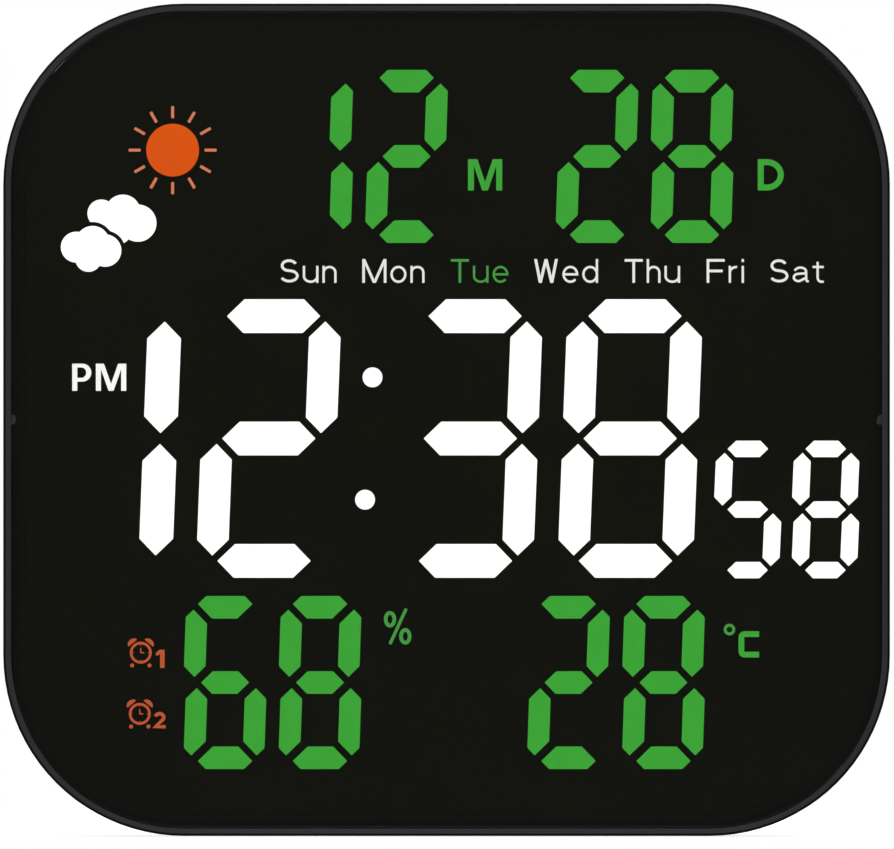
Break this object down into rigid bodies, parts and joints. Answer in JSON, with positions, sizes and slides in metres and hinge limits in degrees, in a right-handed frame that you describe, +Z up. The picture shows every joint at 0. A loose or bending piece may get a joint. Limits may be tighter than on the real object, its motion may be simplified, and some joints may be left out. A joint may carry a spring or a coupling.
{
  "type": "digital wall clock",
  "caption": "Slim rounded-square digital wall clock with a smoked front over lit digits and weather signs, keys and keyholes in its back, and a fold-out desk leg.",
  "frame": {"origin": "middle of the flat back, on the plane of the wall", "axes": "+Z up, +X to the right seen from the front, +Y into the wall; the face looks along -Y"},
  "size_m": [0.255, 0.03, 0.2394],
  "materials": {
    "bezel_plastic": "fine satin moulding",
    "smoked_acrylic": "polished, smoked, see-through",
    "adhesive_foam": "black foam tape",
    "mask_film": "black printed film",
    "white_sign": "milky resin, lit white",
    "green_sign": "milky resin, lit green",
    "orange_sign": "milky resin, lit orange",
    "dark_sign": "milky resin, not lit",
    "light_box_plastic": "white moulding",
    "board_laminate": "solder mask",
    "lamp_resin": "clear resin",
    "chip_resin": "black moulding",
    "can_metal": "tinned can",
    "capacitor_can": "drawn can",
    "sensor_plastic": "white moulding",
    "socket_steel": "nickel plated",
    "cell_steel": "bright nickel",
    "contact_brass": "spring strip",
    "cover_plastic": "fine textured moulding",
    "key_plastic": "soft satin",
    "plunger_plastic": "black moulding",
    "pin_steel": "drawn wire",
    "pad_rubber": "matt",
    "screw_steel": "black zinc"
  },
  "bodies": {
    "case": {"front_bezel": "bezel_plastic", "front_lens": "smoked_acrylic", "lens_adhesive": "adhesive_foam", "display_mask": "mask_film", "time_segments": "white_sign", "colon_dots": "white_sign", "seconds_segments": "white_sign", "month_segments": "green_sign", "day_segments": "green_sign", "humidity_segments": "green_sign", "temperature_segments": "green_sign", "sun_icon": "orange_sign", "cloud_icon": "white_sign", "unlit_segments": "dark_sign", "light_box": "light_box_plastic", "main_board": "board_laminate", "white_leds": "lamp_resin", "green_leds": "lamp_resin", "orange_leds": "lamp_resin", "controller_chip": "chip_resin", "driver_chips": "chip_resin", "clock_crystal": "can_metal", "filter_capacitors": "capacitor_can", "buzzer": "chip_resin", "climate_sensor": "sensor_plastic", "power_socket_shell": "socket_steel", "power_socket_tongue": "chip_resin", "coin_cell": "cell_steel", "cell_contacts": "contact_brass", "key_switches": "chip_resin", "rear_cover": "cover_plastic", "leg_hinge_pin": "pin_steel", "case_screws": "screw_steel", "board_screws": "screw_steel"},
    "mode_key": {"mode_key": "key_plastic", "mode_switch_plunger": "plunger_plastic"},
    "up_key": {"up_key": "key_plastic", "up_switch_plunger": "plunger_plastic"},
    "down_key": {"down_key": "key_plastic", "down_switch_plunger": "plunger_plastic"},
    "alarm_key": {"alarm_key": "key_plastic", "alarm_switch_plunger": "plunger_plastic"},
    "light_key": {"light_key": "key_plastic", "light_switch_plunger": "plunger_plastic"},
    "battery_cap": {"battery_cap": "cover_plastic"},
    "desk_leg": {"desk_leg": "cover_plastic", "leg_foot_pad": "pad_rubber"}
  },
  "joints": [
    {"name": "mode_press", "type": "slide", "parent": "case", "child": "mode_key", "axis": [0, -1, 0], "range_m": [0, 0.0005], "stiffness_N_per_m": 800},
    {"name": "up_press", "type": "slide", "parent": "case", "child": "up_key", "axis": [0, -1, 0], "range_m": [0, 0.0005], "stiffness_N_per_m": 800},
    {"name": "down_press", "type": "slide", "parent": "case", "child": "down_key", "axis": [0, -1, 0], "range_m": [0, 0.0005], "stiffness_N_per_m": 800},
    {"name": "alarm_press", "type": "slide", "parent": "case", "child": "alarm_key", "axis": [0, -1, 0], "range_m": [0, 0.0005], "stiffness_N_per_m": 800},
    {"name": "light_press", "type": "slide", "parent": "case", "child": "light_key", "axis": [0, -1, 0], "range_m": [0, 0.0005], "stiffness_N_per_m": 800},
    {"name": "cap_turn", "type": "hinge", "parent": "case", "child": "battery_cap", "pos_m": [0.07, -0.002, -0.04], "axis": [0, 1, 0], "range_deg": [0, 60]},
    {"name": "leg_swing", "type": "hinge", "parent": "case", "child": "desk_leg", "pos_m": [0, -0.0036, -0.014], "axis": [1, 0, 0], "range_deg": [0, 40]}
  ]
}
